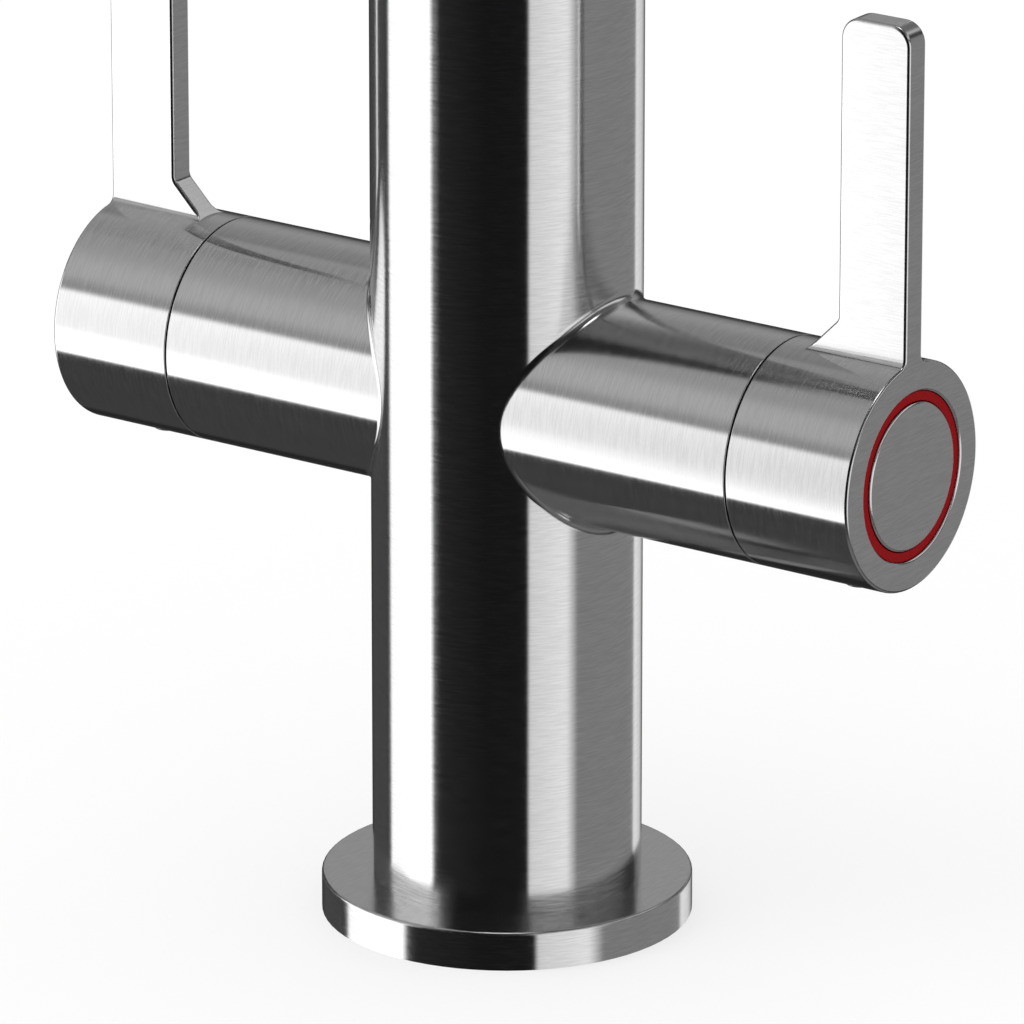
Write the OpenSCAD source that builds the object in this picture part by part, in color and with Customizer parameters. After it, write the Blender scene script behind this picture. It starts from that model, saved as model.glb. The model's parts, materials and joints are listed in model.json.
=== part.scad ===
// Twin lever kitchen tap: one column with two side valves, a swivelling arched spout and a
// round base flange. The origin is the centre of the flange's underside and +Z is up.
// The side barrels lie along X, hot on +X, and the spout points along +Y over the sink.

/* [Column and base] */
// Diameter of the upright column
column_d = 38; // [36:0.5:42]
// Height of the column's top above the worktop
column_h = 150; // [144:1:170]
// Diameter of the round base flange
flange_d = 52.4; // [50:0.2:60]
// Thickness of the base flange
flange_h = 5.6; // [5:0.1:8]
// Bevel round the flange's top edge
flange_bevel = 0.4; // [0.2:0.1:1]

/* [Inlets and fixing] */
// Diameter of the inlet block in the column's foot, which also centres the flange
block_d = 32; // [31:0.5:34]
// Distance from the column's axis to each inlet
inlet_x = 8; // [7.5:0.1:9]
// Tapping diameter of the inlet threads
inlet_thread_d = 9; // [8.5:0.1:9.2]
// Depth of the inlet threads
inlet_thread_l = 12; // [10:0.5:16]
// Diameter of the waterways above the threads
waterway_d = 8; // [6:0.5:8]
// Distance from the column's axis to the fixing stud's hole
stud_y = 10.5; // [10:0.1:11.5]
// Tapping diameter of the fixing stud's hole
stud_hole_d = 6.8; // [5:0.1:7]
// Depth of the fixing stud's hole
stud_hole_l = 18; // [12:0.5:25]

/* [Side barrels and valves] */
// Height of the valve axis above the worktop
valve_z = 76.7; // [70:0.1:84]
// Diameter of the side barrels and of the lever hubs
barrel_d = 32.3; // [32:0.1:34]
// Distance from the column's axis to the end face of a barrel
barrel_reach = 47.3; // [46.5:0.1:52]
// Radius of the fillets where the barrels meet the column
branch_fillet = 1.4; // [0.8:0.1:2]
// Outside diameter of the valve's screw thread
valve_thread_d = 20.8; // [20:0.1:21]
// Diameter of the valve's nose
nose_d = 16.6; // [16:0.1:17]
// Diameter of the ceramic discs
disc_d = 14; // [13:0.1:14]
// Thickness of each ceramic disc
disc_t = 3; // [2.5:0.1:3.2]
// Diameter of the valve spindle
spindle_d = 10; // [9:0.1:10.4]
// Outside diameter of the spindle's serrated end
spline_d = 8; // [7:0.1:8.4]
// Number of serrations on the spindle's end
spline_count = 20; // [16:1:24]
// Width of the valve's hexagon across its flats
valve_hex_af = 19; // [17:0.5:20]

/* [Levers] */
// Gap between a barrel and the lever hub that turns against it
seam_gap = 0.2; // [0.1:0.05:0.4]
// Length of the lever's round hub
lever_l = 19.8; // [19:0.1:24]
// Thickness of the lever's blade
blade_t = 4; // [3:0.1:5]
// Width of the lever's blade
blade_w = 11.1; // [9:0.1:13]
// Height of the blade above the top of its hub
blade_h = 47.5; // [35:0.5:60]
// Radius of the blade's top corners
blade_corner_r = 3; // [1:0.1:4]
// Radius of the fillets between the blade and the hub
blade_fillet = 1.3; // [0.6:0.1:2]
// Width and height of the slope at the blade's inner foot
blade_slope = 4.7; // [3:0.1:5]
// Bevel round the rims of the hub and of the end cap
rim_bevel = 0.25; // [0.1:0.05:0.4]
// Outside diameter of the coloured ring in the lever's end
ring_d = 23.7; // [22:0.1:25]
// Diameter of the metal cap inside the coloured ring
cap_d = 20.8; // [19:0.1:21]
// Depth of the coloured ring below the end face
ring_sunk = 0.35; // [0.1:0.05:0.5]
// Distance from the lever's end face to its grub screw
grub_in = 8.2; // [7:0.1:9]
// Diameter of the plug that covers the grub screw
plug_d = 4.4; // [4.2:0.1:5]
// Height that the plug stands below the hub
plug_proud = 0.7; // [0.2:0.1:1]

/* [Spout] */
// Outside diameter of the spout's tube
tube_d = 25; // [24:0.5:27]
// Wall of the spout's tube
tube_wall = 1.3; // [1:0.1:1.6]
// Distance from the column's axis to the outlet's axis
spout_reach = 200; // [160:1:240]
// Height where the spout's arch springs from its upright legs
arch_z = 230; // [215:1:280]
// Length of the straight drop from the end of the arch to the outlet's rim
outlet_drop = 44; // [36:1:80]
// Height of the turning collar above the column
collar_h = 13.5; // [12:0.5:20]
// Radius of the collar's rounded shoulder
collar_round = 5; // [3:0.5:5]
// Diameter of the spout's spigot in the column
spigot_d = 25; // [24:0.1:26]
// Length of the spout's spigot in the column
spigot_l = 31; // [28:0.5:34]
// Height of the aerator's visible barrel
aerator_h = 9; // [7:0.5:14]

/* [Hidden] */
$fn = 96;

// Clearances: a still fit, a turning fit, a loose gap and the overrun of a cut
still_fit = 0.05;
run_fit = 0.05;
loose_gap = 0.1;
overrun = 1;
// Number of straight steps in a small rounding and in a fillet
arc_steps = 8;

// Column, inlet block and flange
column_r = column_d / 2;
flange_r = flange_d / 2;
block_r = block_d / 2;
block_roof = 2;
block_top_z = stud_hole_l + block_roof;
seal_edge = 2.2;
seal_w = 3.6;
seal_h = 2.1;

// Valve pocket, measured inwards from the barrel's end face
barrel_r = barrel_d / 2;
pocket_wall = 2.35;
pocket_r = barrel_r - pocket_wall;
shoulder_in = 3;
valve_thread_l = 9.8;
chamber_l = 13.5;
chamber_r = 9.8;
shoulder_x = barrel_reach - shoulder_in;
thread_x = shoulder_x - valve_thread_l;
seat_x = thread_x - chamber_l;

// Fillets between the barrels and the column: their sections, the steps in each arc, how far
// the arc's ends sink into the metal and how far the root does
branch_sections = 72;
branch_steps = 4;
branch_sink = 0.02;
branch_root = 1;

// Waterways
waterway_r = waterway_d / 2;
port_share = 0.95;
port_r = port_share * waterway_r;
port_top_gap = 0.4;
mix_r = 10;
mix_above_axis = 12;
mix_floor_z = valve_z + mix_above_axis;
outlet_hole_r = 2.5;
outlet_hole_rise = 20;
outlet_hole_x = 6;
outlet_hole_in = 1.1;

// Valve, measured along its axis
washer_proud = 1.6;
washer_t = 2.6;
washer_w = 1.5;
disc_r = disc_d / 2;
disc_film = 0.03;
cavity_gap = 0.25;
cavity_r = disc_r + cavity_gap;
nose_x = seat_x + washer_proud;
fixed_disc_x = seat_x + washer_t;
moving_disc_x = fixed_disc_x + disc_t + disc_film;
cavity_l = 11.9;
cavity_end_x = nose_x + cavity_l;
thread_relief = 0.4;
shoulder_r = 12;
shoulder_t = 2;
hex_h = 4;
neck_r = 7;
neck_h = 1.3;
hex_x = shoulder_x + shoulder_t;
neck_x = hex_x + hex_h;
neck_end_x = neck_x + neck_h;
window_w = 8;
window_l = 3.4;
window_gap = 0.4;
valve_seal_r = 0.68;
valve_seal_groove_w = 1.7;
valve_seal_in = 1.1;
valve_seal_x = shoulder_x - valve_seal_in;
port_angle = 76;
port_in_r = 1.8;
port_out_gap = 1.55;
slot_w = 4;
slot_t = 1;

// Spindle
spindle_r = spindle_d / 2;
spline_r = spline_d / 2;
spline_tooth = 0.4;
foot_gap = 0.02;
foot_l = 12;
spindle_flange_t = 1.7;
foot_x = moving_disc_x + disc_t - slot_t + foot_gap;
spindle_flange_x = cavity_end_x - loose_gap - spindle_flange_t;
seal_ring_r = 0.7;
seal_groove_w = 1.8;
seal_x1 = 4;
seal_x2 = 9;
clip_t = 0.8;
clip_w = 1.9;
clip_groove_depth = 0.85;
clip_groove_w = 1;
clip_gap = 0.15;
clip_open_angle = 80;
clip_groove_x = neck_end_x + clip_gap;
clip_x = clip_groove_x + (clip_groove_w - clip_t) / 2;
spindle_end_x = clip_groove_x + clip_groove_w + clip_gap;

// Glide ring between barrel and lever
glide_in = 1.9;
glide_r = pocket_r - still_fit;
glide_bore_r = shoulder_r + loose_gap;

// Lever
lever_x0 = barrel_reach + seam_gap;
lever_x1 = lever_x0 + lever_l;
skirt_depth = 6;
skirt_r = glide_r + run_fit;
hub_x = lever_x0 + skirt_depth;
recess_depth = 2.4;
recess_x = lever_x1 - recess_depth;
hub_web = 1.7;
hub_end_x = recess_x - hub_web;
blade_x = lever_x1 - blade_w;
blade_sink = 2;
blade_top = barrel_r + blade_h;
ring_r = ring_d / 2;
cap_r = cap_d / 2;
dish_floor = 0.8;
cap_x = recess_x + dish_floor;

// Grub screw and its plug, measured outwards from the valve axis
grub_r = 2;
grub_l = 6.5;
grub_socket_r = 1.15;
grub_socket_l = 2.2;
grub_x = lever_x1 - grub_in;
plug_l = 4;
plug_r = plug_d / 2;
plug_start = barrel_r - plug_l;
plug_bevel = 0.3;

// Spout
tube_r = tube_d / 2;
tube_bore_r = tube_r - tube_wall;
spigot_r = spigot_d / 2;
spigot_bore_r = 9.5;
socket_r = spigot_r + run_fit;
socket_gap = 0.6;
collar_gap = 0.4;
collar_edge = 0.3;
collar_z = column_h + collar_gap;
collar_top_z = collar_z + collar_h;
tube_seat = 2.6;
tube_z = collar_z + tube_seat;
arch_r = spout_reach / 2;
spigot_z = collar_z - spigot_l;
spout_seal_r = 0.85;
spout_seal_w = 2.2;
spout_seal_z1 = spigot_z + 4 * spout_seal_r;
spout_seal_z2 = spout_seal_z1 + 6 * spout_seal_r;
lock_below = 10;
lock_z = column_h - lock_below;
lock_groove_w = 4.2;
lock_groove_depth = 1.5;
lock_screw_r = 2.5;
lock_dog_r = 1.5;
lock_sunk = 0.8;
lock_socket_r = 1.45;
lock_socket_l = 2.5;
glide_washer_depth = 1.5;
glide_washer_w = 1.8;

// Aerator
outlet_z = arch_z - outlet_drop;
tube_end_z = outlet_z + aerator_h;
aerator_seam = 0.2;
bush_l = 10;
bush_wall = 1.1;
bush_ledge_t = 2;
bush_ledge_w = 1.4;
thread_wall = 1.1;
rim_t = 1.4;
rim_w = 1;
rim_round = 0.8;
bush_r = tube_bore_r - still_fit;
bush_bore_r = bush_r - bush_wall;
aerator_thread_r = bush_bore_r - still_fit;
aerator_bore_r = aerator_thread_r - thread_wall;
aerator_washer_t = 1.5;
aerator_top_z = tube_end_z + bush_l - bush_ledge_t - aerator_washer_t;
insert_r = aerator_bore_r - still_fit;
insert_plate = 1.5;
insert_wall = 1;
insert_hole_r = 0.75;
insert_rows = 3;
insert_pitch = (insert_r - insert_wall) / (insert_rows + 1);

// Points of an arc, from angle a0 to angle a1
function arc(cx, cy, r, a0, a1, n = arc_steps) =
    [for (i = [0:n]) [cx + r * cos(a0 + (a1 - a0) * i / n), cy + r * sin(a0 + (a1 - a0) * i / n)]];

// Corners of a serrated round, with its teeth's tips on radius r
function serrated(r) =
    [for (i = [0:2 * spline_count - 1])
        let (q = i % 2 == 0 ? r : r - spline_tooth, a = i * 180 / spline_count)
        [q * cos(a), q * sin(a)]];

// Puts what is drawn upwards from the origin onto the valve axis, starting at x
module along_valve(x) translate([x, 0, valve_z]) rotate([0, 90, 0]) children();

// Puts what is drawn upwards from the origin below the valve axis, pointing down from it
module below_valve(x, r) translate([x, 0, valve_z - r]) rotate([180, 0, 0]) children();

module ring(r_out, r_in, h) {
    difference() {
        cylinder(r = r_out, h = h);
        translate([0, 0, -overrun]) cylinder(r = r_in, h = h + 2 * overrun);
    }
}

module torus(r_major, r_minor) rotate_extrude() translate([r_major, 0]) circle(r = r_minor, $fn = 32);

module bevelled(r, h, bevel) {
    rotate_extrude() polygon([[0, 0], [r, 0], [r, h - bevel], [r - bevel, h], [0, h]]);
}

// Centre of a ball that rolls round the joint of the column and the barrel on +X, from the valve axis
function ball_centre(turn) =
    let (y = (barrel_r + branch_fillet) * cos(turn))
    [sqrt(pow(column_r + branch_fillet, 2) - pow(y, 2)), y, (barrel_r + branch_fillet) * sin(turn)];

// Section of the fillet there: the ball's arc from the column to the barrel, then a root in the metal
function branch_section(turn) =
    let (centre = ball_centre(turn),
         to_column = -[centre[0], centre[1], 0] / (column_r + branch_fillet),
         to_barrel = -[0, centre[1], centre[2]] / (barrel_r + branch_fillet),
         between = acos(to_column * to_barrel),
         to_root = (to_column + to_barrel) / norm(to_column + to_barrel))
    concat(
        [for (i = [0:branch_steps])
            let (a = i * between / branch_steps,
                 reach = branch_fillet + (i % branch_steps == 0 ? branch_sink : 0))
            centre + reach * (sin(between - a) * to_column + sin(a) * to_barrel) / sin(between)],
        [centre + (branch_fillet / cos(between / 2) + branch_root) * to_root]);

// Ring of triangles through those sections
module branch_ring() {
    n = branch_steps + 2;
    translate([0, 0, valve_z]) polyhedron(
        points = [for (k = [0:branch_sections - 1]) each branch_section(360 * k / branch_sections)],
        faces = [for (k = [0:branch_sections - 1], i = [0:n - 1], second = [false, true])
            let (here = k * n, next = (k + 1) % branch_sections * n, j = (i + 1) % n)
            second ? [next + i, here + j, next + j] : [here + i, here + j, next + i]]);
}

// One piece: column and both barrels, with the waterways inside
module tap_body() {
    color("silver") difference() {
        union() {
            translate([0, 0, flange_h]) bevelled(column_r, column_h - flange_h, collar_edge);
            along_valve(-barrel_reach) cylinder(r = barrel_r, h = 2 * barrel_reach);
            branch_ring();
            mirror([1, 0, 0]) branch_ring();
        }
        cylinder(r = block_r + still_fit, h = block_top_z);
        spout_socket();
        valve_waterways();
        mirror([1, 0, 0]) valve_waterways();
        lock_screw_place() translate([0, 0, -overrun]) cylinder(r = lock_screw_r, h = column_r + overrun);
    }
}

// Brass block in the column's foot that the hoses and the fixing stud screw into
module inlet_block() {
    color("goldenrod") difference() {
        cylinder(r = block_r, h = block_top_z);
        for (side = [-1, 1])
            translate([side * inlet_x, 0, 0]) {
                translate([0, 0, -overrun]) cylinder(d = inlet_thread_d, h = inlet_thread_l + overrun);
                cylinder(r = waterway_r, h = block_top_z + overrun);
            }
        translate([0, -stud_y, -overrun]) cylinder(d = stud_hole_d, h = stud_hole_l + overrun);
    }
}

module spout_socket() {
    translate([0, 0, spigot_z - socket_gap]) cylinder(r = socket_r, h = column_h);
    translate([0, 0, column_h - glide_washer_depth]) cylinder(r = socket_r + glide_washer_w, h = column_h);
    translate([0, 0, mix_floor_z]) cylinder(r = mix_r, h = column_h);
}

// Waterway, port, valve pocket and outlet hole of the side on +X
module valve_waterways() {
    translate([inlet_x, 0, 0]) cylinder(r = waterway_r, h = valve_z + port_r + port_top_gap);
    along_valve(inlet_x) cylinder(r = port_r, h = seat_x);
    along_valve(seat_x) cylinder(r = chamber_r, h = barrel_reach);
    along_valve(thread_x) cylinder(r = valve_thread_d / 2 + still_fit, h = barrel_reach);
    along_valve(shoulder_x) cylinder(r = pocket_r, h = barrel_reach);
    translate([seat_x + outlet_hole_x, 0, valve_z + chamber_r - outlet_hole_in])
        rotate([0, outlet_hole_rise - 90, 0])
        cylinder(r = outlet_hole_r, h = (seat_x + outlet_hole_x - mix_r + overrun) / cos(outlet_hole_rise));
}

module base_flange() {
    color("silver") difference() {
        bevelled(flange_r, flange_h, flange_bevel);
        translate([0, 0, -overrun]) cylinder(r = block_r + still_fit, h = flange_h + 2 * overrun);
        translate([0, 0, -overrun])
            ring(flange_r - seal_edge, flange_r - seal_edge - seal_w, seal_h + loose_gap + overrun);
    }
}

module base_seal() {
    color("dimgray")
        ring(flange_r - seal_edge - loose_gap, flange_r - seal_edge - seal_w + loose_gap, seal_h);
}

// Brass valve cartridge: nose, thread, shoulder, hexagon and neck in one turned piece
module valve_body() {
    color("goldenrod") difference() {
        union() {
            along_valve(nose_x) cylinder(d = nose_d, h = shoulder_x - nose_x);
            along_valve(thread_x + thread_relief)
                cylinder(d = valve_thread_d, h = valve_thread_l - thread_relief);
            along_valve(shoulder_x) cylinder(r = shoulder_r, h = shoulder_t);
            along_valve(hex_x) cylinder(d = valve_hex_af / cos(30), h = hex_h, $fn = 6);
            along_valve(neck_x) cylinder(r = neck_r, h = neck_h);
        }
        along_valve(nose_x - overrun) cylinder(r = cavity_r, h = cavity_l + overrun);
        along_valve(nose_x) cylinder(r = spindle_r + run_fit, h = neck_end_x);
        translate([spindle_flange_x - window_gap - window_l, -window_w / 2, valve_z - nose_d])
            cube([window_l, window_w, 2 * nose_d]);
        along_valve(valve_seal_x - valve_seal_groove_w / 2)
            ring(valve_thread_d, valve_thread_d / 2 - 2 * valve_seal_r - still_fit, valve_seal_groove_w);
    }
}

module valve_seal() {
    color("dimgray") along_valve(valve_seal_x) torus(valve_thread_d / 2 - valve_seal_r, valve_seal_r);
}

module seat_washer() {
    color("dimgray") along_valve(seat_x) ring(disc_r, disc_r - washer_w, washer_t);
}

// Two opposite openings through a ceramic disc, centred on the angle a
module disc_ports(a) {
    for (turn = [0, 180])
        rotate([0, 0, a + turn - port_angle / 2])
            rotate_extrude(angle = port_angle)
            translate([port_in_r, -overrun])
            square([disc_r - port_out_gap - port_in_r, disc_t + 2 * overrun]);
}

module fixed_disc() {
    color("white") along_valve(fixed_disc_x) difference() {
        cylinder(r = disc_r, h = disc_t);
        disc_ports(0);
    }
}

// Turns with the spindle: closed at rest, because its openings lie a quarter turn away
module moving_disc() {
    color("white") along_valve(moving_disc_x) difference() {
        cylinder(r = disc_r, h = disc_t);
        disc_ports(90);
        translate([-disc_d, -slot_w / 2 - run_fit, disc_t - slot_t])
            cube([2 * disc_d, slot_w + 2 * run_fit, disc_t]);
    }
}

module spindle() {
    color("goldenrod") difference() {
        union() {
            intersection() {
                along_valve(foot_x) cylinder(d = foot_l, h = spindle_flange_x - foot_x + overrun);
                translate([foot_x, -slot_w / 2, valve_z - disc_d])
                    cube([spindle_flange_x - foot_x + overrun / 2, slot_w, 2 * disc_d]);
            }
            along_valve(spindle_flange_x) cylinder(r = disc_r, h = spindle_flange_t);
            along_valve(spindle_flange_x) cylinder(r = spindle_r, h = spindle_end_x - spindle_flange_x);
            along_valve(spindle_end_x - overrun)
                linear_extrude(height = hub_end_x - loose_gap - spindle_end_x + overrun)
                polygon(serrated(spline_r));
        }
        for (x = [seal_x1, seal_x2])
            along_valve(cavity_end_x + x - seal_groove_w / 2)
                ring(spindle_d, spindle_r - 2 * seal_ring_r - still_fit, seal_groove_w);
        along_valve(clip_groove_x) ring(spindle_d, spindle_r - clip_groove_depth, clip_groove_w);
    }
}

module spindle_seals() {
    color("dimgray")
        for (x = [seal_x1, seal_x2])
            along_valve(cavity_end_x + x) torus(spindle_r - seal_ring_r, seal_ring_r);
}

module spindle_clip() {
    color("gainsboro") along_valve(clip_x)
        rotate([0, 0, clip_open_angle / 2])
        rotate_extrude(angle = 360 - clip_open_angle)
        translate([spindle_r - clip_groove_depth + still_fit, 0])
        square([clip_w, clip_t]);
}

// Nylon ring in the barrel's mouth that centres the lever's skirt
module glide_ring() {
    color("whitesmoke") along_valve(shoulder_x) ring(glide_r, glide_bore_r, shoulder_in + glide_in);
}

// The blade's outline from the side, in X and Z, with its foot inside the hub
function blade_outline() = concat(
    [[lever_x1, barrel_r - blade_sink], [lever_x1, blade_top - blade_corner_r]],
    arc(lever_x1 - blade_corner_r, blade_top - blade_corner_r, blade_corner_r, 0, 90),
    arc(blade_x + blade_corner_r, blade_top - blade_corner_r, blade_corner_r, 90, 180),
    [[blade_x, barrel_r + blade_slope],
     [blade_x - blade_slope - blade_sink, barrel_r - blade_sink]]);

// Half of the blade's outline along the valve axis, in Y and Z, with the fillet to the hub
fillet_y = blade_t / 2 + blade_fillet;
fillet_z = sqrt(pow(barrel_r + blade_fillet, 2) - pow(fillet_y, 2));
fillet_end = 180 + atan2(fillet_z, fillet_y);
function blade_half() = concat(
    [[blade_t / 2, blade_top + overrun]],
    arc(fillet_y, fillet_z, blade_fillet, 180, fillet_end));
function mirrored(points) = [for (i = [len(points) - 1:-1:0]) [-points[i][0], points[i][1]]];
function blade_section() = concat(
    blade_half(),
    [[fillet_y - blade_fillet, barrel_r - blade_sink - blade_fillet],
     [blade_fillet - fillet_y, barrel_r - blade_sink - blade_fillet]],
    mirrored(blade_half()));

module blade() {
    intersection() {
        translate([0, barrel_r, valve_z])
            rotate([90, 0, 0])
            linear_extrude(height = 2 * barrel_r) polygon(blade_outline());
        translate([lever_x0, 0, valve_z])
            rotate([90, 0, 90])
            linear_extrude(height = lever_l) polygon(blade_section());
    }
}

module lever() {
    color("gainsboro") difference() {
        union() {
            along_valve(lever_x0) bevelled(barrel_r, lever_l, rim_bevel);
            blade();
        }
        along_valve(lever_x0 - overrun) cylinder(r = skirt_r, h = skirt_depth + overrun);
        along_valve(hub_x - overrun)
            linear_extrude(height = hub_end_x - hub_x + overrun) polygon(serrated(spline_r + still_fit));
        along_valve(recess_x) cylinder(r = ring_r + loose_gap, h = recess_depth + overrun);
        below_valve(grub_x, 0) cylinder(r = grub_r, h = barrel_r);
        below_valve(grub_x, plug_start) cylinder(r = plug_r + still_fit, h = plug_l + overrun);
    }
}

// Shallow dish of coloured plastic: its rim shows as a ring round the metal cap
module indicator_ring(shade) {
    color(shade) difference() {
        along_valve(recess_x) cylinder(r = ring_r, h = recess_depth - ring_sunk);
        along_valve(cap_x) cylinder(r = cap_r + still_fit, h = recess_depth);
    }
}

module end_cap() {
    color("gainsboro") along_valve(cap_x) bevelled(cap_r, lever_x1 - cap_x, rim_bevel);
}

module grub_screw() {
    color("dimgray") below_valve(grub_x, spline_r + still_fit) difference() {
        cylinder(r = grub_r - still_fit, h = grub_l);
        translate([0, 0, grub_l - grub_socket_l])
            cylinder(r = grub_socket_r, h = grub_socket_l + overrun, $fn = 6);
    }
}

module screw_plug() {
    color("gainsboro") below_valve(grub_x, plug_start) bevelled(plug_r, plug_l + plug_proud, plug_bevel);
}

module hot_valve_body() valve_body();
module hot_valve_seal() valve_seal();
module hot_seat_washer() seat_washer();
module hot_fixed_disc() fixed_disc();
module hot_moving_disc() moving_disc();
module hot_spindle() spindle();
module hot_spindle_seals() spindle_seals();
module hot_spindle_clip() spindle_clip();
module hot_glide_ring() glide_ring();
module hot_lever() lever();
module hot_indicator_ring() indicator_ring("firebrick");
module hot_end_cap() end_cap();
module hot_grub_screw() grub_screw();
module hot_screw_plug() screw_plug();

module cold_side() mirror([1, 0, 0]) children();
module cold_valve_body() cold_side() valve_body();
module cold_valve_seal() cold_side() valve_seal();
module cold_seat_washer() cold_side() seat_washer();
module cold_fixed_disc() cold_side() fixed_disc();
module cold_moving_disc() cold_side() moving_disc();
module cold_spindle() cold_side() spindle();
module cold_spindle_seals() cold_side() spindle_seals();
module cold_spindle_clip() cold_side() spindle_clip();
module cold_glide_ring() cold_side() glide_ring();
module cold_lever() cold_side() lever();
module cold_indicator_ring() cold_side() indicator_ring("royalblue");
module cold_end_cap() cold_side() end_cap();
module cold_grub_screw() cold_side() grub_screw();
module cold_screw_plug() cold_side() screw_plug();

// Turned collar with its spigot below and the tube's socket above
module spout_base() {
    shoulder = arc(column_r - collar_round, collar_top_z - collar_round, collar_round, 0, 90);
    color("silver") difference() {
        rotate_extrude() polygon(concat(
            [[spigot_bore_r, spigot_z], [spigot_r, spigot_z], [spigot_r, collar_z],
             [column_r - collar_edge, collar_z], [column_r, collar_z + collar_edge]],
            shoulder,
            [[spigot_bore_r, collar_top_z]]));
        translate([0, 0, tube_z]) cylinder(r = tube_r + still_fit, h = collar_h);
        for (z = [spout_seal_z1, spout_seal_z2])
            translate([0, 0, z - spout_seal_w / 2])
                ring(spigot_d, spigot_r - 2 * spout_seal_r - still_fit, spout_seal_w);
        translate([0, 0, lock_z - lock_groove_w / 2])
            ring(spigot_d, spigot_r - lock_groove_depth, lock_groove_w);
    }
}

module spout_path(r) {
    translate([0, 0, tube_z]) cylinder(r = r, h = arch_z - tube_z);
    translate([0, arch_r, arch_z])
        rotate([90, 0, 90])
        rotate_extrude(angle = 180) translate([arch_r, 0]) circle(r = r);
    translate([0, spout_reach, tube_end_z]) cylinder(r = r, h = arch_z - tube_end_z);
}

module spout_tube() {
    color("silver") difference() {
        spout_path(tube_r);
        spout_path(tube_bore_r);
    }
}

module spout_seals() {
    color("dimgray")
        for (z = [spout_seal_z1, spout_seal_z2])
            translate([0, 0, z]) torus(spigot_r - spout_seal_r, spout_seal_r);
}

// Washer in the column's mouth that the collar turns on
module spout_glide_ring() {
    color("whitesmoke") translate([0, 0, column_h - glide_washer_depth])
        ring(socket_r + glide_washer_w - loose_gap, socket_r + loose_gap,
             glide_washer_depth + collar_gap - run_fit);
}

// Puts what is drawn upwards from the origin on the column's back face, pointing inwards
module lock_screw_place() translate([0, -column_r, lock_z]) rotate([-90, 0, 0]) children();

// Screw whose thinner tip runs in the spigot's groove
module spout_lock_screw() {
    screw_end = column_r - socket_r - loose_gap;
    tip_end = column_r - spigot_r + lock_groove_depth - loose_gap;
    color("dimgray") lock_screw_place() difference() {
        union() {
            translate([0, 0, lock_sunk]) cylinder(r = lock_screw_r - still_fit, h = screw_end - lock_sunk);
            translate([0, 0, lock_sunk]) cylinder(r = lock_dog_r, h = tip_end - lock_sunk);
        }
        translate([0, 0, lock_sunk - overrun])
            cylinder(r = lock_socket_r, h = lock_socket_l + overrun, $fn = 6);
    }
}

module at_outlet(z) translate([0, spout_reach, z]) children();

// Threaded brass bush inside the tube's end
module outlet_bush() {
    color("goldenrod") at_outlet(tube_end_z) difference() {
        cylinder(r = bush_r, h = bush_l);
        translate([0, 0, -overrun]) cylinder(r = bush_bore_r, h = bush_l - bush_ledge_t + overrun);
        cylinder(r = bush_bore_r - bush_ledge_w, h = bush_l + overrun);
    }
}

module aerator_housing() {
    color("silver") at_outlet(0) rotate_extrude() polygon(concat(
        [[aerator_bore_r - rim_w, outlet_z]],
        arc(tube_r - rim_round, outlet_z + rim_round, rim_round, -90, 0),
        [[tube_r, tube_end_z - aerator_seam], [aerator_thread_r, tube_end_z - aerator_seam],
         [aerator_thread_r, aerator_top_z], [aerator_bore_r, aerator_top_z],
         [aerator_bore_r, outlet_z + rim_t], [aerator_bore_r - rim_w, outlet_z + rim_t]]));
}

// Plastic cup with rings of holes that breaks up the stream
module aerator_insert() {
    insert_h = aerator_top_z - outlet_z - rim_t;
    color("whitesmoke") at_outlet(outlet_z + rim_t) difference() {
        cylinder(r = insert_r, h = insert_h);
        translate([0, 0, insert_plate]) cylinder(r = insert_r - insert_wall, h = insert_h);
        translate([0, 0, -overrun]) cylinder(r = insert_hole_r, h = 2 * insert_plate + overrun);
        for (row = [1:insert_rows], k = [0:6 * row - 1])
            rotate([0, 0, 60 * k / row])
                translate([row * insert_pitch, 0, -overrun])
                cylinder(r = insert_hole_r, h = 2 * insert_plate + overrun, $fn = 24);
    }
}

module aerator_washer() {
    color("dimgray") at_outlet(aerator_top_z)
        ring(aerator_thread_r, aerator_bore_r, aerator_washer_t);
}

tap_body();
inlet_block();
base_flange();
base_seal();
hot_valve_body();
hot_valve_seal();
hot_seat_washer();
hot_fixed_disc();
hot_moving_disc();
hot_spindle();
hot_spindle_seals();
hot_spindle_clip();
hot_glide_ring();
hot_lever();
hot_indicator_ring();
hot_end_cap();
hot_grub_screw();
hot_screw_plug();
cold_valve_body();
cold_valve_seal();
cold_seat_washer();
cold_fixed_disc();
cold_moving_disc();
cold_spindle();
cold_spindle_seals();
cold_spindle_clip();
cold_glide_ring();
cold_lever();
cold_indicator_ring();
cold_end_cap();
cold_grub_screw();
cold_screw_plug();
spout_base();
spout_tube();
spout_seals();
spout_glide_ring();
spout_lock_screw();
outlet_bush();
aerator_housing();
aerator_insert();
aerator_washer();
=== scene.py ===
import json
import math

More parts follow.
